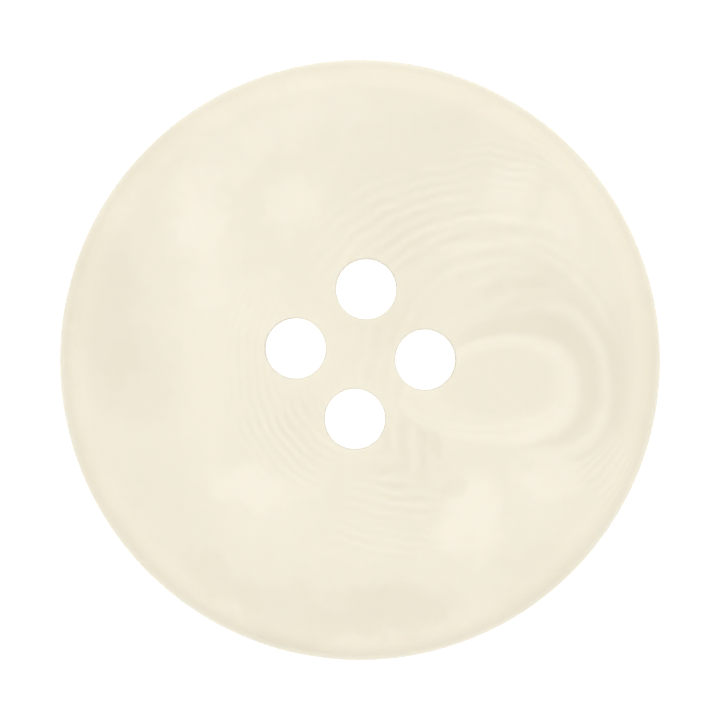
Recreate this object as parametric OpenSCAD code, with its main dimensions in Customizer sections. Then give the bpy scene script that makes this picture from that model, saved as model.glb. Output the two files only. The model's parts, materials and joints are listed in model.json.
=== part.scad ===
// Sew-through button: one solid disc, turned on both sides and drilled with thread holes.
// The face is a shallow dish with a flat floor, inside a softly rolled rim. The back is flat.
// The origin is the centre of the flat back, and +Z points out of the face.
// One thread hole lies on +Y, and the hole pattern sits a little towards that side.

/* [Disc] */
// Outside diameter of the button
button_d = 20; // [18:0.5:30]
// Height of the rim's crest above the flat back
rim_h = 3; // [2.8:0.1:4]
// Rounding between the flat back and the side
back_edge_r = 1.6; // [0.4:0.1:1.6]

/* [Rim] */
// Distance of the rim's crest in from the outside edge
crest_inset = 0.7; // [0.65:0.05:0.85]
// Rounding across the rim's crest
crest_r = 0.9; // [0.9:0.05:1.2]
// Rounding from the rim's crest down to the side
edge_r = 0.6; // [0.4:0.05:0.6]

/* [Dish] */
// Diameter of the dish's flat floor, which holds the thread holes
floor_d = 9; // [8:0.25:12]
// Depth of the floor below the rim's crest
dish_depth = 0.65; // [0.3:0.05:1]

/* [Thread holes] */
// Number of thread holes
hole_count = 4; // [2, 3, 4]
// Diameter of each thread hole
hole_d = 2; // [1.2:0.1:2.4]
// Diameter of the circle through the hole centres
hole_circle_d = 4.35; // [4.1:0.05:4.55]
// Distance of the hole pattern's centre from the disc's centre, along +Y
pattern_shift = 0.2; // [0:0.05:0.4]
// Width of the bevel that breaks both edges of each thread hole
hole_bevel = 0.05; // [0.05:0.05:0.2]

/* [Hidden] */

// Smoothness of the turned shape and of the drilled holes
turned_fn = 180;
drilled_fn = 60;
// Number of straight steps along each arc of the outline
arc_steps = 16;
// Distance by which a drill runs past both faces
overrun = 1;

button_r = button_d / 2;
hole_r = hole_d / 2;
floor_r = floor_d / 2;
floor_z = rim_h - dish_depth;

// Other leg of a right triangle, from its longest side and one leg
function leg(longest, one) = sqrt(pow(longest, 2) - pow(one, 2));

// Angle of the line from one point to another
function direction(from, to) = atan2(to.y - from.y, to.x - from.x);

// Point at an angle and a distance from a centre
function at(centre, radius, angle) = centre + radius * [cos(angle), sin(angle)];

// Points along an arc from one angle to another
function arc(centre, radius, from, to) =
    [for (i = [0 : arc_steps]) at(centre, radius, from + (to - from) * i / arc_steps)];

// The outline's arcs, as centres in the half section. The back edge's arc runs into the side.
back_edge_c = [button_r - back_edge_r, back_edge_r];
// The crest's arc tops the rim.
crest_c = [button_r - crest_inset, rim_h - crest_r];
// The edge's arc leaves the crest's arc from inside it, and runs into the side.
edge_c = [button_r - edge_r, crest_c.y + leg(crest_r - edge_r, crest_inset - edge_r)];
// The hollow's arc rises from the flat floor, and runs into the crest's arc from outside it.
hollow_run = crest_c.x - floor_r;
hollow_lift = crest_r - dish_depth;
hollow_r = (pow(hollow_run, 2) + pow(hollow_lift, 2) - pow(crest_r, 2)) / (2 * dish_depth);
hollow_c = [floor_r, floor_z + hollow_r];

// Angles at which the crest's arc starts and ends
crest_start = direction(crest_c, edge_c);
crest_end = direction(crest_c, hollow_c);

// Half section of the disc, from the centre of the back, round the rim, to the dish's centre
module half_section() {
    polygon(concat(
        [[0, 0]],
        arc(back_edge_c, back_edge_r, -90, 0),
        arc(edge_c, edge_r, 0, crest_start),
        arc(crest_c, crest_r, crest_start, crest_end),
        arc(hollow_c, hollow_r, crest_end - 180, -90),
        [[0, floor_z]]
    ));
}

// Drill for one thread hole, with a cutter that bevels its edge on the back and on the floor
module hole_drill() {
    wide_r = hole_r + 2 * hole_bevel;
    cut_h = 2 * hole_bevel;
    translate([0, 0, -overrun])
        cylinder(h = floor_z + 2 * overrun, r = hole_r, $fn = drilled_fn);
    translate([0, 0, -hole_bevel])
        cylinder(h = cut_h, r1 = wide_r, r2 = hole_r, $fn = drilled_fn);
    translate([0, 0, floor_z - hole_bevel])
        cylinder(h = cut_h, r1 = hole_r, r2 = wide_r, $fn = drilled_fn);
}

// The whole button: a turned disc, less its thread holes
module button_disc() {
    color([0.95, 0.92, 0.85])
    difference() {
        rotate_extrude($fn = turned_fn)
            half_section();
        translate([0, pattern_shift, 0])
            for (i = [0 : hole_count - 1])
                rotate([0, 0, 90 + i * 360 / hole_count])
                    translate([hole_circle_d / 2, 0, 0])
                        hole_drill();
    }
}

button_disc();
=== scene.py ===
import json
import math

import bpy
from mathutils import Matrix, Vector, geometry, noise


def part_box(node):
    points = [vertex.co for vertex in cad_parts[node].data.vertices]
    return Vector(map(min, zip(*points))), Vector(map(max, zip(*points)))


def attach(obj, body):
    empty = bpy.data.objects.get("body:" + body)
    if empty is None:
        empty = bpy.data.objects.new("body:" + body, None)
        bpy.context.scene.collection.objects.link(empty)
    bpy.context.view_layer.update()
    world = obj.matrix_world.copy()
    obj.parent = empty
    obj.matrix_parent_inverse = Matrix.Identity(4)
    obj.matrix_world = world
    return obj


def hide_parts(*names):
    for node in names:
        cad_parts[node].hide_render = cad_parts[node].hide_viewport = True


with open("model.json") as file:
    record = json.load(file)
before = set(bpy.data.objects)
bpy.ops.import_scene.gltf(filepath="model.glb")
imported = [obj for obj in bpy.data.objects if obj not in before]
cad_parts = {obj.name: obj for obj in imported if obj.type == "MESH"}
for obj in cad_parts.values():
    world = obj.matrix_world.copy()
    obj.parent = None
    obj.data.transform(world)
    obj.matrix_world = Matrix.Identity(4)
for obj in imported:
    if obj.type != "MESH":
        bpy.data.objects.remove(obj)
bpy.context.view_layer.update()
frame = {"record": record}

NODE = "button_disc"
SLOT = "button_blank"
BODY = "root"
MM = 0.001

# ---------------------------------------------------------------- sizes, in millimetres
# The frame gives the disc's outline and the thread holes.
low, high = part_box(NODE)
BUTTON_R = (high.x - low.x) / 2 / MM
RIM_H = high.z / MM
HOLES = [m for m in frame["record"]["mounts"] if m["kind"] == "bore"]
HOLE_R = HOLES[0]["dims"]["r_mm"]
HOLE_CENTRES = [Vector(m["pos_m"][:2]) / MM for m in HOLES]
# Each bore's wall is centred between the back and the dish's floor.
FLOOR_Z = 2 * HOLES[0]["pos_m"][2] / MM

# The same arcs as the CAD outline
CREST_INSET = 0.7
CREST_R = 0.9
EDGE_R = 0.6
BACK_EDGE_R = 1.6
FLOOR_R = 4.5
HOLE_EDGE_R = 0.05

# How far hand finishing takes the surface below the ideal shape, and over what distance it varies
WAVE_DEPTH, WAVE_SIZE = 0.007, 2.6
RIPPLE_DEPTH, RIPPLE_SIZE = 0.0012, 0.7
# Where the ripple's noise is read, so that it doesn't follow the wave
RIPPLE_SHIFT = Vector((9, 4, 2))
# How unevenly the thread holes are drilled, how fast that changes round a hole, and how far apart
# the holes are in the noise
HOLE_WOBBLE, WOBBLE_RATE, WOBBLE_GAP = 0.012, 0.8, 3.7

# Mesh fineness: steps round the disc and round a hole, and the spacing of points between the holes
ROUND_STEPS = 240
HOLE_STEPS = 80
POINT_GAP = 0.125
# How near those points come to a ring, as a share of their spacing
POINT_MARGIN = 0.6
# What the triangulation makes, and how near two points are when they count as one
FILL_OUTLINE, SAME_POINT = 0, 1e-6
# Steps along the flat back, the side, and the arcs of the back edge, edge, crest and hollow
BACK_STEPS, SIDE_STEPS = 20, 5
BACK_EDGE_STEPS, EDGE_STEPS, CREST_STEPS, HOLLOW_STEPS = 16, 12, 10, 28
# Steps round a hole's mouth and down its wall
MOUTH_STEPS, WALL_STEPS = 5, 8

# ---------------------------------------------------------------- the blank's figure and painted shade and light
# The figure is laid out along the blank's grain, which the holes were drilled at an angle to.
# Places are in millimetres from the disc's centre, with x along the grain.
GRAIN_TURN = math.radians(4.9)
# The layers lean as they go down through the blank. Places are true on the dish's floor.
LAYER_LEAN = Vector((0.30, -0.18, 0))
# The fine lines shift this much for each millimetre of depth.
LAYER_DROP = 0.9
# How strongly the finer parts of every noise show
NOISE_ROUGHNESS = 0.55
# How far the whole figure strays, and over what distance
STRAY, STRAY_SIZE = 0.45, 2.2

# Rings of the eye, each painted over the ones before it: centre, reach, turn in degrees, how much
# blunter the right end is, tone, how softly it begins, and the places along the grain where it is
# gone and is full. A search fitted the shapes of the eighth, ninth and tenth to measured edges, and
# the rings next to them share their turn and mostly their bluntness. The rest was chosen one by one.
EYE_RINGS = [
    ((4.85, -0.44), (3.85, 4.40), 0, 0.00, -0.40, 0.03, (4.6, 6.2)),
    ((4.37, -0.55), (4.21, 4.55), 0, 0.00, 0.35, 0.03, (0.4, 2.2)),
    ((4.40, -0.60), (4.00, 4.28), 0, 0.00, -0.30, 0.03, (0.4, 3.4)),
    ((4.68, -0.64), (3.75, 4.06), 0, 0.00, 0.42, 0.03, (6.4, 4.4)),
    ((4.70, -0.66), (3.56, 3.86), 0, 0.00, -0.15, 0.04, (6.4, 4.4)),
    ((4.70, -0.65), (4.05, 3.45), 0, 0.00, -0.45, 0.05, (3.0, 5.0)),
    ((4.60, -0.69), (3.97, 2.52), 5, 0.53, -0.95, 0.05, (6.4, 8.4)),
    ((4.68, -0.69), (3.54, 2.35), 5, 0.53, 0.65, 0.04, (4.4, 8.2)),
    ((4.13, -0.72), (3.81, 1.92), 5, 0.69, -1.30, 0.06, (2.6, 4.4)),
    ((4.32, -1.08), (2.99, 1.79), 8, 0.33, 0.50, 0.06, (0.0, 1.6)),
    ((4.20, -1.10), (2.87, 1.66), 8, 0.33, 0.80, 0.05, (0.0, 1.6)),
    ((4.12, -1.03), (2.71, 1.48), 8, 0.33, 0.38, 0.03, (0.0, 1.6)),
    ((4.10, -1.01), (2.65, 1.40), 8, 0.33, 0.64, 0.03, (0.0, 1.6)),
    ((4.10, -0.95), (2.57, 1.24), 8, 0.33, 0.20, 0.04, (0.0, 1.6)),
    ((4.60, -0.80), (1.85, 1.14), 8, 0.25, -0.35, 0.12, (0.0, 1.6)),
]
# The rings that are taller than this fade out below the eye, between these places across the grain.
TALL_RING = 3.0
RINGS_GONE, RINGS_FULL = -4.0, -1.5
# Keeps an egg's formula from dividing by zero far to its left
LEAST_SWELL = 0.1
# The bright ring of the eye. The fine lines begin at its edge and are full at this many times its
# reach.
BRIGHT_RING = EYE_RINGS[9]
LINES_FULL = 1.12

# Fine contour lines lie along four fields. One circles the eye, with centres that drift as it grows.
LINES_FROM = Vector((7.15, -0.60, 0))
LINES_DRIFT = Vector((-0.60, 0.06, 0))
# One circles the middle of the blank.
MIDDLE = Vector((0.90, -0.10, 0))
# One is nearly flat, because its centre is far above the lines.
FAR_ABOVE = Vector((2.50, 3.60, 0))
# The last is like the second, but turns a soft corner into straight lines on the right: how fast
# those lines climb along the grain, their value at the axis, how soft the corner is, and how far
# all the lines are shifted.
CORNER_SLOPE, CORNER_START, CORNER_SOFT, CORNER_SHIFT = 1.03, 2.00, 0.20, 0.24
# How far the lines waver, and over what distance
WAVER, WAVER_SIZE = 0.3, 0.9
# A group reaches its full strength at this share of its reach.
GROUP_FULL = 0.25
# The lines come and go: over what distance, between which values of the noise, and how far
BREAK_SIZE = 0.9
BREAK_LOW, BREAK_HIGH = 0.35, 0.65
FAINTEST, BOLDEST = 0.3, 1.5
# Each group of lines: field, pitch, where it shows (centre, reach, turn in degrees) and strength
LINE_GROUPS = [
    ("eye", 0.685, (4.4, 4.3), (3.6, 1.5), -12, 0.50),
    ("eye", 0.62, (4.5, 2.5), (2.4, 1.4), 0, 0.40),
    ("eye", 0.31, (1.4, 4.6), (4.2, 2.4), 25, 0.50),
    ("eye", 0.30, (4.8, 6.6), (2.2, 1.5), -20, 0.35),
    ("eye", 0.46, (7.9, -3.5), (1.3, 2.0), 20, 0.35),
    ("middle", 0.28, (-3.5, 0.2), (1.5, 3.4), 0, 0.24),
    ("middle", 0.32, (-2.3, -2.6), (2.4, 2.3), -30, 0.45),
    ("flat", 0.38, (1.3, -4.6), (2.5, 1.1), -5, 0.55),
    ("flat", 0.30, (0.8, -6.0), (2.8, 0.9), -8, 0.32),
    ("corner", 0.65, (1.5, -3.1), (1.4, 1.8), 0, 0.60),
    ("eye", 0.36, (0.9, 0.6), (1.5, 2.6), -20, 0.30),
]

# Cloudy patches of the blank's figure: centre, reach, turn in degrees, and tone. The dark ones
# along the left and bottom of the rim and the light ones along its top are partly painted shade and
# painted light, for light that falls from the top.
FIGURE_AND_SHADE_PATCHES = [
    ((-5.40, 5.00), (1.30, 2.40), 6, 0.90),
    ((-5.15, 2.40), (1.00, 1.40), -5, 0.42),
    ((-5.00, 1.20), (1.90, 6.80), -3, 0.46),
    ((-2.30, 5.20), (1.60, 1.15), 30, 0.82),
    ((-2.20, 8.40), (3.60, 1.50), 10, 0.40),
    ((-3.60, -4.35), (1.80, 1.20), -20, 0.80),
    ((-3.60, -4.60), (3.00, 2.20), -20, 0.30),
    ((-0.60, -6.20), (4.60, 1.40), 0, 0.10),
    ((3.70, -5.20), (1.55, 2.10), -20, 1.10),
    ((6.25, -3.80), (1.60, 1.10), 20, 0.80),
    ((4.80, 5.60), (1.15, 1.60), -20, 0.68),
    ((6.50, 4.85), (0.90, 1.30), 30, 0.55),
    ((6.40, 5.40), (2.80, 2.60), -30, 0.30),
    ((8.40, 3.60), (1.50, 3.60), 25, 0.06),
    ((-9.20, -2.80), (1.20, 1.80), 0, -0.28),
    ((5.90, -2.30), (1.40, 0.90), 30, 0.30),
    ((-8.55, 1.70), (1.95, 4.20), 0, -0.92),
    ((-7.10, -0.60), (1.90, 2.20), 0, -0.60),
    ((-6.60, -4.80), (2.40, 3.40), 35, -0.30),
    ((-2.60, -8.50), (2.30, 1.60), -15, -0.80),
    ((0.80, -8.25), (3.40, 1.25), 8, -1.15),
    ((5.90, -7.25), (2.60, 1.50), 36, -0.50),
    ((2.60, 7.20), (3.00, 1.90), -15, -0.16),
    ((1.20, 2.60), (2.20, 3.40), -25, -0.52),
    ((6.80, 1.70), (2.60, 1.40), -40, -0.36),
    ((1.70, -2.90), (1.80, 1.80), 0, -0.60),
    ((1.90, -4.90), (1.70, 1.60), 0, -0.28),
    ((8.90, -0.20), (1.50, 4.20), 0, -0.50),
    ((-7.50, 7.00), (2.20, 1.30), 45, -0.45),
    ((-6.20, 5.00), (1.10, 2.20), 0, 0.48),
    ((-2.60, 7.80), (1.90, 1.30), 0, 0.42),
    ((4.40, 7.60), (1.40, 1.40), 0, 0.42),
    ((-4.85, -7.30), (2.00, 1.05), -30, -0.80),
    ((-0.60, -7.30), (3.60, 0.90), 0, -0.22),
    ((-4.45, 7.00), (1.90, 1.75), 0, 0.68),
    ((5.90, -4.75), (1.10, 1.60), 0, 0.26),
    ((-1.90, -2.00), (1.20, 1.70), 0, -0.28),
    ((-1.80, -4.30), (1.00, 0.90), 0, 0.30),
    ((2.95, -4.25), (0.60, 0.40), 45, -0.60),
    ((0.10, 8.95), (4.60, 1.60), 0, 0.42),
    ((0.90, 5.50), (2.80, 2.20), 0, -0.34),
    ((1.20, 0.30), (1.30, 3.00), 0, -0.34),
    ((-3.30, 1.80), (1.50, 1.50), 0, 0.34),
    ((2.45, -2.75), (0.55, 0.60), 0, -0.45),
    ((-0.40, 1.60), (1.20, 1.20), 0, -0.24),
    ((7.30, 3.30), (0.90, 1.20), 40, 0.35),
    ((5.50, 2.70), (1.60, 0.90), 0, -0.30),
]
# A patch begins at the first of these shares of its reach, and is full from the second inwards.
PATCH_EDGE, PATCH_FULL = 0.91, 0.39
# How ragged the patches' outlines are, and over what distance
RAGGED, RAGGED_SIZE = 1.8, 0.9
# Tone and size of the fine mottle
MOTTLE_TONE, MOTTLE_SIZE = 0.55, 0.45
# Painted shade: the outer edge is coloured a little darker than the faces, for the shading of the
# rolled edge. That begins at the first radius and is full from the second.
EDGE_PAINTED_SHADE = -0.35
EDGE_SHADE_FROM, EDGE_SHADE_TO = 9.0, 9.5

# Reflectance of the middle tone, and what share of it each channel gains for one step of tone
MID_TONE = (0.773, 0.730, 0.610)
TONE_STEP = (0.042, 0.044, 0.062)

# ---------------------------------------------------------------- the blank's surface
# Roughness, how much the grain varies it, and how much smoother the top of the rim is
ROUGHNESS, GRAIN_ROUGHNESS, RUBBED_ROUGHNESS = 0.37, 0.10, -0.05
# How far down from the top of the rim the rubbing reaches, and the size of the grain
RUBBED_DEPTH, GRAIN_SIZE = 0.25, 0.12
# Turning marks: their pitch, the size of the areas where they are left, and between which values
# of the noise they appear
MARK_PITCH, MARK_AREA = 0.085, 1.6
MARK_LOW, MARK_HIGH = 0.45, 0.7
# Heights of the marks, the layers and the grain in the bump, in millimetres
MARK_HEIGHT, LAYER_HEIGHT, GRAIN_HEIGHT = 0.00012, 0.0012, 0.0006
# What is the same all over the blank
FINISH = {
    "Specular IOR Level": 0.45,
    "Coat Weight": 0.25,
    "Coat Roughness": 0.12,
    "Subsurface Weight": 0.4,
    "Subsurface Radius": (1.0, 0.8, 0.55),
    "Subsurface Scale": 0.8 * MM,
}

# ---------------------------------------------------------------- the studio, in metres
# Half the floor's width, and how far below the button it lies
FLOOR_HALF, FLOOR_DROP = 0.4, 0.00002
# Lit until it is white, because the button shows against white
FLOOR_FINISH = {
    "Base Color": (0.3, 0.3, 0.3, 1),
    "Roughness": 0.9,
    "Specular IOR Level": 0.0,
    "Emission Color": (1, 1, 1, 1),
    "Emission Strength": 0.92,
}
# Brightness of the tent from the horizon down, and overhead
TENT_LOW, TENT_HIGH = 0.60, 1.00
# The softbox's place, width and radiance
LAMP_PLACE, LAMP_SIZE, LAMP_RADIANCE = (0.0, 0.10, 0.50), 1.1, 0.46
# Lens and sensor in millimetres, and the share of the frame's width that the disc fills
LENS, SENSOR, FILL = 400, 36, 0.8345


# ---------------------------------------------------------------- outline of the disc
def leg(longest, one):
    """The other leg of a right triangle."""
    return math.sqrt(longest**2 - one**2)


def arc(centre, radius, start, stop, steps, hollow=False):
    """Points along an arc of the half section, each with its outward normal, without the first."""
    side = -1 if hollow else 1
    points = []
    for i in range(1, steps + 1):
        angle = start + (stop - start) * i / steps
        way = Vector((math.cos(angle), math.sin(angle)))
        points.append((centre + way * radius, way * side))
    return points


def outline():
    """The half section from the back, round the rim, to the floor: (radius, height) and normal.

    It leaves out its first and last points, which are on the two plates.
    """
    back_edge = Vector((BUTTON_R - BACK_EDGE_R, BACK_EDGE_R))
    crest = Vector((BUTTON_R - CREST_INSET, RIM_H - CREST_R))
    edge = Vector((BUTTON_R - EDGE_R, crest.y + leg(CREST_R - EDGE_R, CREST_INSET - EDGE_R)))
    depth = RIM_H - FLOOR_Z
    run, lift = crest.x - FLOOR_R, CREST_R - depth
    hollow_r = (run**2 + lift**2 - CREST_R**2) / (2 * depth)
    hollow = Vector((FLOOR_R, FLOOR_Z + hollow_r))
    crest_start = math.atan2(edge.y - crest.y, edge.x - crest.x)
    crest_end = math.atan2(hollow.y - crest.y, hollow.x - crest.x)
    down, outward = Vector((0, -1)), Vector((1, 0))
    points = [
        (Vector((FLOOR_R + (back_edge.x - FLOOR_R) * i / BACK_STEPS, 0)), down)
        for i in range(1, BACK_STEPS + 1)
    ]
    points += arc(back_edge, BACK_EDGE_R, -math.pi / 2, 0, BACK_EDGE_STEPS)
    points += [
        (Vector((BUTTON_R, back_edge.y + (edge.y - back_edge.y) * i / SIDE_STEPS)), outward)
        for i in range(1, SIDE_STEPS + 1)
    ]
    points += arc(edge, EDGE_R, 0, crest_start, EDGE_STEPS)
    points += arc(crest, CREST_R, crest_start, crest_end, CREST_STEPS)
    points += arc(hollow, hollow_r, crest_end - math.pi, -math.pi / 2, HOLLOW_STEPS, hollow=True)
    return points[:-1]


# ---------------------------------------------------------------- mesh of the disc
def worn(place, normal):
    """A point of the ideal shape, in millimetres, after polishing has taken a little off it."""
    wave = 0.5 + 0.5 * noise.noise(place / WAVE_SIZE)
    ripple = 0.5 + 0.5 * noise.noise(place / RIPPLE_SIZE + RIPPLE_SHIFT)
    return place - normal * (WAVE_DEPTH * wave + RIPPLE_DEPTH * ripple)


def hole_offset(hole, angle):
    """How much wider than nominal a drilled hole is at one angle."""
    way = Vector((math.cos(angle), math.sin(angle), WOBBLE_GAP * hole))
    return HOLE_WOBBLE * (0.5 + noise.noise(way * WOBBLE_RATE))


def hole_ring(hole, radius):
    """The points of a circle round one hole, with the hole's own unevenness."""
    ring = []
    for i in range(HOLE_STEPS):
        angle = 2 * math.pi * i / HOLE_STEPS
        reach = radius + hole_offset(hole, angle)
        ring.append(HOLE_CENTRES[hole] + Vector((math.cos(angle), math.sin(angle))) * reach)
    return ring


class Solid:
    """Collects the vertices and faces of one closed mesh."""

    def __init__(self):
        self.places, self.faces = [], []

    def point(self, place, normal):
        """Adds a point of the ideal shape, worn, and returns its number."""
        self.places.append(worn(place, normal) * MM)
        return len(self.places) - 1

    def bridge(self, first, second):
        """Joins two rings of the same length with four-sided faces."""
        for i in range(len(first)):
            j = (i + 1) % len(first)
            self.faces.append((first[i], first[j], second[j], second[i]))

    def turned_ring(self, reach, normal):
        """A ring round the disc's axis from one point of the outline."""
        ring = []
        for i in range(ROUND_STEPS):
            angle = 2 * math.pi * i / ROUND_STEPS
            c, s = math.cos(angle), math.sin(angle)
            place = Vector((reach.x * c, reach.x * s, reach.y))
            ring.append(self.point(place, Vector((normal.x * c, normal.x * s, normal.y))))
        return ring

    def object(self, name):
        """The finished mesh as an object in the scene, shaded smooth."""
        mesh = bpy.data.meshes.new(name)
        mesh.from_pydata(self.places, [], self.faces)
        mesh.validate()
        mesh.polygons.foreach_set("use_smooth", [True] * len(mesh.polygons))
        made = bpy.data.objects.new(name, mesh)
        bpy.context.scene.collection.objects.link(made)
        return made


def plate_layout():
    """Points and triangles of the flat plate that holds the thread holes, and its rings."""
    outer = [
        Vector((math.cos(a), math.sin(a))) * FLOOR_R
        for a in (2 * math.pi * i / ROUND_STEPS for i in range(ROUND_STEPS))
    ]
    mouth_r = HOLE_R + HOLE_EDGE_R
    rings = [outer] + [hole_ring(h, mouth_r) for h in range(len(HOLE_CENTRES))]
    points, loops = [], []
    for ring in rings:
        loops.append(list(range(len(points), len(points) + len(ring))))
        points += ring
    margin = POINT_GAP * POINT_MARGIN
    row_gap = POINT_GAP * math.sqrt(3) / 2
    rows = int(FLOOR_R / row_gap)
    for row in range(-rows, rows + 1):
        start = POINT_GAP / 2 if row % 2 else 0
        for column in range(-rows * 2, rows * 2):
            p = Vector((start + column * POINT_GAP, row * row_gap))
            inside = p.length < FLOOR_R - margin
            if inside and all((p - c).length > mouth_r + margin for c in HOLE_CENTRES):
                points.append(p)
    edges = [(loop[i], loop[(i + 1) % len(loop)]) for loop in loops for i in range(len(loop))]
    found, _, triangles, _, _, _ = geometry.delaunay_2d_cdt(
        points, edges, [], FILL_OUTLINE, SAME_POINT
    )
    # The rings are joined by their points' numbers, so no point may be added or lost.
    assert len(found) == len(points)
    # A triangle with all its corners on one hole's ring lies inside that hole.
    rims = [set(loop) for loop in loops[1:]]
    kept = [t for t in triangles if not any(rim.issuperset(t) for rim in rims)]
    return found, kept, loops


def build_button():
    """The whole button as one closed mesh."""
    solid = Solid()
    layout, triangles, loops = plate_layout()
    plates = {}
    for side, height in ((-1, 0.0), (1, FLOOR_Z)):
        ids = [solid.point(p.to_3d() + Vector((0, 0, height)), Vector((0, 0, side))) for p in layout]
        solid.faces += [[ids[i] for i in (t if side > 0 else reversed(t))] for t in triangles]
        plates[side] = [[ids[i] for i in loop] for loop in loops]

    ring = plates[-1][0]
    for reach, normal in outline():
        wider = solid.turned_ring(reach, normal)
        solid.bridge(ring, wider)
        ring = wider
    solid.bridge(ring, plates[1][0])

    for hole in range(len(HOLE_CENTRES)):
        drill_hole(solid, hole, plates[1][hole + 1], plates[-1][hole + 1])
    return solid.object("button")


def drill_hole(solid, hole, upper, lower):
    """The rounded mouths and the wall of one hole, between its rings on the floor and the back."""
    mouth_r = HOLE_R + HOLE_EDGE_R
    section = []
    for i in range(1, MOUTH_STEPS + 1):
        angle = math.pi / 2 * i / MOUTH_STEPS
        section.append((mouth_r - HOLE_EDGE_R * math.sin(angle), HOLE_EDGE_R * (1 - math.cos(angle)),
                        Vector((-math.sin(angle), math.cos(angle)))))
    wall_h = FLOOR_Z - 2 * HOLE_EDGE_R
    steps = [(r, FLOOR_Z - drop, n) for r, drop, n in section]
    steps += [(HOLE_R, FLOOR_Z - HOLE_EDGE_R - wall_h * i / WALL_STEPS, Vector((-1, 0)))
              for i in range(1, WALL_STEPS)]
    steps += [(r, drop, Vector((n.x, -n.y))) for r, drop, n in reversed(section)]
    ring = upper
    for radius, height, normal in steps:
        next_ring = []
        for place in hole_ring(hole, radius):
            way = (place - HOLE_CENTRES[hole]).normalized()
            facing = Vector((way.x * normal.x, way.y * normal.x, normal.y))
            next_ring.append(solid.point(place.to_3d() + Vector((0, 0, height)), facing))
        solid.bridge(ring, next_ring)
        ring = next_ring
    solid.bridge(ring, lower)


# ---------------------------------------------------------------- shader helpers
class Graph:
    """Adds nodes to one material and links them, so that a pattern reads as arithmetic."""

    def __init__(self, name):
        self.material = bpy.data.materials.new(name)
        self.material.use_nodes = True
        self.tree = self.material.node_tree
        self.shader = self.tree.nodes["Principled BSDF"]

    def feed(self, socket, value):
        """Links a socket to another node's output, or sets it to a plain value."""
        if isinstance(value, bpy.types.NodeSocket):
            self.tree.links.new(value, socket)
        else:
            socket.default_value = value

    def set_shader(self, values):
        """Sets the shader's own sockets, for what is the same all over the surface."""
        for name, value in values.items():
            self.shader.inputs[name].default_value = value

    def node(self, kind, inputs, **settings):
        made = self.tree.nodes.new(kind)
        for name, value in settings.items():
            setattr(made, name, value)
        for key, value in inputs.items():
            self.feed(made.inputs[key], value)
        return made

    def maths(self, operation, a, b=0.0, c=0.0):
        return self.node("ShaderNodeMath", {0: a, 1: b, 2: c}, operation=operation).outputs[0]

    def add(self, a, b):
        return self.maths("ADD", a, b)

    def times(self, a, b):
        return self.maths("MULTIPLY", a, b)

    def vector(self, operation, a, b=(0, 0, 0), **more):
        made = self.node("ShaderNodeVectorMath", {0: a, 1: b}, operation=operation)
        for key, value in more.items():
            self.feed(made.inputs[key.capitalize()], value)
        return made.outputs["Value" if operation in ("LENGTH", "DOT_PRODUCT") else "Vector"]

    def mix(self, weight, first, second):
        made = self.node("ShaderNodeMix", {"Factor": weight, "A": first, "B": second})
        return made.outputs["Result"]

    def between(self, value, low_value, high_value, low_out=0.0, high_out=1.0):
        """A smooth step from low_out to high_out as value goes from low_value to high_value."""
        made = self.node(
            "ShaderNodeMapRange",
            {"Value": value, "From Min": low_value, "From Max": high_value,
             "To Min": low_out, "To Max": high_out},
            interpolation_type="SMOOTHSTEP",
        )
        return made.outputs["Result"]

    def noise(self, place, size, detail=2.0, colour=False):
        """Noise with features of about the given size in millimetres, centred on 0.5."""
        made = self.node("ShaderNodeTexNoise",
                         {"Vector": place, "Scale": 1 / size, "Detail": detail,
                          "Roughness": NOISE_ROUGHNESS})
        return made.outputs["Color" if colour else "Fac"]

    def part(self, place, axis):
        """One coordinate of a point: X, Y or Z."""
        return self.node("ShaderNodeSeparateXYZ", {0: place}).outputs[axis]

    def from_axis(self, place):
        """The distance from the disc's axis."""
        return self.vector("LENGTH", self.vector("MULTIPLY", place, (1, 1, 0)))

    def strayed(self, place, amount, size, detail=2.0):
        """The point moved by noise within its layer."""
        push = self.vector("SUBTRACT", self.noise(place, size, detail, colour=True), (0.5, 0.5, 0.5))
        return self.vector("ADD", place, self.vector("MULTIPLY", push, (amount, amount, 0)))

    def fitted(self, place, centre, reach, turn):
        """The point as seen from an oval's centre, in shares of its reach."""
        made = self.node("ShaderNodeMapping",
                         {"Vector": place, "Location": (*centre, 0),
                          "Rotation": (0, 0, math.radians(turn)), "Scale": (*reach, 1)},
                         vector_type="TEXTURE")
        return made.outputs[0]

    def oval(self, place, centre, reach, turn):
        """0 at an oval's centre and 1 on its edge."""
        return self.vector("LENGTH", self.fitted(place, centre, reach, turn))

    def egg(self, place, centre, reach, turn, blunt):
        """0 at an egg's centre and 1 on its edge. The larger blunt is, the blunter its right end."""
        inside = self.fitted(place, centre, reach, turn)
        along, across = self.part(inside, "X"), self.part(inside, "Y")
        swell = self.maths("MAXIMUM", self.maths("MULTIPLY_ADD", along, blunt, 1.0), LEAST_SWELL)
        square = self.add(self.maths("POWER", along, 2.0),
                          self.maths("POWER", self.maths("DIVIDE", across, swell), 2.0))
        return self.maths("SQRT", square)

    def growing_circles(self, away, drift):
        """The radius of the circle through a point, in a family whose centres drift as it grows."""
        along = self.vector("DOT_PRODUCT", away, drift)
        square = self.vector("DOT_PRODUCT", away, away)
        shrink = 1 - drift.length_squared
        inner = self.add(self.times(along, along), self.times(square, shrink))
        return self.times(self.maths("SUBTRACT", self.maths("SQRT", inner), along), 1 / shrink)


# ---------------------------------------------------------------- material of the blank
def figure_place(g, place):
    """The point in the blank's own uneven, leaning layers, and its depth below the dish's floor."""
    turned = g.node("ShaderNodeMapping", {"Vector": place, "Rotation": (0, 0, -GRAIN_TURN)})
    flat = g.vector("MULTIPLY", turned.outputs[0], (1, 1, 0))
    below = g.maths("SUBTRACT", FLOOR_Z, g.part(place, "Z"))
    leant = g.vector("ADD", flat, g.vector("SCALE", LAYER_LEAN, scale=below))
    return g.strayed(leant, STRAY, STRAY_SIZE), below


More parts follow.
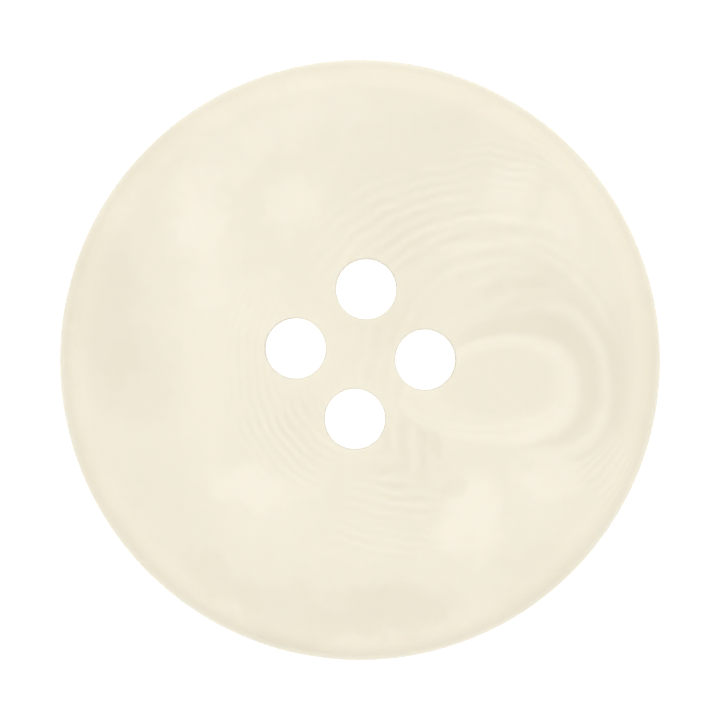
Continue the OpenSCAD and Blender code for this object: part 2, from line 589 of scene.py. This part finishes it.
def ring_tone(g, place):
    """The broad rings round the eye, each painted over the ones before it."""
    along = g.part(place, "X")
    upper = g.between(g.part(place, "Y"), RINGS_GONE, RINGS_FULL)
    tone = 0.0
    for centre, reach, turn, blunt, ring, soft, (gone, full) in EYE_RINGS:
        inside = g.between(g.egg(place, centre, reach, turn, blunt), 1 + soft, 1 - soft)
        kept = g.between(along, gone, full)
        if reach[1] > TALL_RING:
            kept = g.times(kept, upper)
        tone = g.mix(g.times(inside, kept), tone, ring)
    return tone


def line_tone(g, place, below):
    """The fine nested contour lines, each group with its own pitch and place."""
    bent = g.strayed(place, WAVER, WAVER_SIZE, detail=3)
    round_middle = g.vector("LENGTH", g.vector("SUBTRACT", bent, MIDDLE))
    upright = g.maths("MULTIPLY_ADD", g.part(bent, "X"), CORNER_SLOPE, CORNER_START)
    fields = {
        "eye": g.growing_circles(g.vector("SUBTRACT", bent, LINES_FROM), LINES_DRIFT),
        "middle": round_middle,
        "flat": g.vector("LENGTH", g.vector("SUBTRACT", bent, FAR_ABOVE)),
        "corner": g.add(g.maths("SMOOTH_MAX", round_middle, upright, CORNER_SOFT), CORNER_SHIFT),
    }
    deeper = g.times(below, LAYER_DROP)
    total = 0.0
    for field, pitch, centre, reach, turn, strength in LINE_GROUPS:
        layer = g.add(fields[field], deeper)
        wave = g.maths("SINE", g.times(layer, 2 * math.pi / pitch))
        shown = g.between(g.oval(place, centre, reach, turn), 1.0, GROUP_FULL, 0.0, strength)
        total = g.maths("MULTIPLY_ADD", wave, shown, total)
    broken = g.between(g.noise(place, BREAK_SIZE), BREAK_LOW, BREAK_HIGH, FAINTEST, BOLDEST)
    outside = g.between(g.egg(place, *BRIGHT_RING[:4]), 1.0, LINES_FULL)
    return g.times(total, g.times(broken, outside))


def patch_and_shade_tone(g, place):
    """Cloudy lighter and darker patches: figure, and painted shade and light along the rim."""
    ragged = g.strayed(place, RAGGED, RAGGED_SIZE, detail=4)
    total = 0.0
    for centre, reach, turn, tone in FIGURE_AND_SHADE_PATCHES:
        oval = g.oval(ragged, centre, reach, turn)
        total = g.add(total, g.between(oval, PATCH_EDGE, PATCH_FULL, 0.0, tone))
    return total


def button_material():
    """A polished cream blank with a faint natural figure, and some painted shade and light."""
    g = Graph(SLOT)
    metres = g.node("ShaderNodeTexCoord", {}).outputs["Object"]
    place = g.vector("SCALE", metres, scale=1 / MM)
    figure, below = figure_place(g, place)

    lines = line_tone(g, figure, below)
    mottle = g.times(g.add(g.noise(place, MOTTLE_SIZE, detail=4), -0.5), MOTTLE_TONE)
    # Painted shade: the colour darkens towards the outer edge.
    edge = g.between(g.from_axis(place), EDGE_SHADE_FROM, EDGE_SHADE_TO, 0.0, EDGE_PAINTED_SHADE)
    # The patches are partly painted shade and painted light along the rim.
    tone = g.add(g.add(ring_tone(g, figure), patch_and_shade_tone(g, figure)), g.add(lines, mottle))
    step = g.vector("SCALE", TONE_STEP, scale=g.add(tone, edge))
    colour = g.vector("MULTIPLY", g.vector("ADD", step, (1, 1, 1)), MID_TONE)
    g.feed(g.shader.inputs["Base Color"], colour)

    # The top of the rim is rubbed smoother than the dish, and the grain breaks up the shine.
    rubbed = g.between(g.part(place, "Z"), RIM_H - RUBBED_DEPTH, RIM_H)
    grain = g.add(g.noise(place, GRAIN_SIZE, detail=3), -0.5)
    rough = g.add(g.times(grain, GRAIN_ROUGHNESS), g.times(rubbed, RUBBED_ROUGHNESS))
    g.feed(g.shader.inputs["Roughness"], g.add(rough, ROUGHNESS))
    g.feed(g.shader.inputs["Normal"], surface_bump(g, place, lines, grain))
    g.set_shader(FINISH)
    return g.material


def surface_bump(g, place, lines, grain):
    """Turning marks round the axis, polished-back layers and fine grain, as a normal."""
    mark = g.maths("SINE", g.times(g.from_axis(place), 2 * math.pi / MARK_PITCH))
    kept = g.between(g.noise(place, MARK_AREA), MARK_LOW, MARK_HIGH)
    marks = g.times(g.times(mark, kept), MARK_HEIGHT)
    layers = g.times(lines, LAYER_HEIGHT)
    height = g.add(g.add(marks, layers), g.times(grain, GRAIN_HEIGHT))
    bump = g.node("ShaderNodeBump", {"Height": height, "Distance": MM, "Strength": 1.0})
    return bump.outputs["Normal"]


# ---------------------------------------------------------------- stage, light and camera
def white_floor():
    """A pale table lit from within, which is seen only from above."""
    mesh = bpy.data.meshes.new("floor")
    corners = [(x * FLOOR_HALF, y * FLOOR_HALF, -FLOOR_DROP)
               for x, y in ((-1, -1), (1, -1), (1, 1), (-1, 1))]
    mesh.from_pydata(corners, [], [(0, 1, 2, 3)])
    floor = bpy.data.objects.new("floor", mesh)
    bpy.context.scene.collection.objects.link(floor)
    g = Graph("floor_white")
    g.set_shader(FLOOR_FINISH)
    clear = g.node("ShaderNodeBsdfTransparent", {}).outputs[0]
    under = g.node("ShaderNodeNewGeometry", {}).outputs["Backfacing"]
    mixed = g.node("ShaderNodeMixShader", {0: under, 1: g.shader.outputs[0], 2: clear})
    g.feed(g.tree.nodes["Material Output"].inputs["Surface"], mixed.outputs[0])
    # Rays find a floor this large by themselves. Sampling it as a lamp streaks the disc's back.
    g.material.cycles.emission_sampling = "NONE"
    mesh.materials.append(g.material)


def soft_light(name, place, size, radiance):
    """A square softbox that faces the button and isn't seen itself."""
    light = bpy.data.lights.new(name, "AREA")
    light.size = size
    light.energy = radiance * math.pi * size**2
    lamp = bpy.data.objects.new(name, light)
    lamp.location = place
    lamp.rotation_euler = (-Vector(place)).to_track_quat("-Z", "Y").to_euler()
    lamp.visible_camera = False
    bpy.context.scene.collection.objects.link(lamp)


def studio():
    """A pale tent, brighter overhead than at the sides, under one large softbox."""
    world = bpy.data.worlds.new("tent")
    world.use_nodes = True
    tree = world.node_tree
    facing = tree.nodes.new("ShaderNodeTexCoord").outputs["Generated"]
    split = tree.nodes.new("ShaderNodeSeparateXYZ")
    fade = tree.nodes.new("ShaderNodeMapRange")
    fade.inputs["To Min"].default_value = TENT_LOW
    fade.inputs["To Max"].default_value = TENT_HIGH
    tree.links.new(facing, split.inputs[0])
    tree.links.new(split.outputs["Z"], fade.inputs["Value"])
    tree.links.new(fade.outputs["Result"], tree.nodes["Background"].inputs["Strength"])
    tree.nodes["Background"].inputs["Color"].default_value = (1, 1, 1, 1)
    scene = bpy.context.scene
    scene.world = world
    scene.view_settings.view_transform = "Standard"
    soft_light("overhead", LAMP_PLACE, LAMP_SIZE, LAMP_RADIANCE)


def camera():
    """Straight down on the face on a long lens, turned with the blank's grain."""
    # The disc fills its share of the frame at about the top of its straight side.
    widest = RIM_H - EDGE_R
    data = bpy.data.cameras.new("camera")
    data.lens = LENS
    data.sensor_width = SENSOR
    width = 2 * BUTTON_R * MM / FILL
    distance = width * data.lens / data.sensor_width
    data.clip_start = 0.01
    data.clip_end = 10
    made = bpy.data.objects.new("camera", data)
    made.location = (0, 0, widest * MM + distance)
    made.rotation_euler = (0, 0, GRAIN_TURN)
    bpy.context.scene.collection.objects.link(made)
    bpy.context.scene.camera = made


# ---------------------------------------------------------------- the scene
button = build_button()
button.data.materials.append(button_material())
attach(button, BODY)
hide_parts(NODE)

white_floor()
studio()
camera()
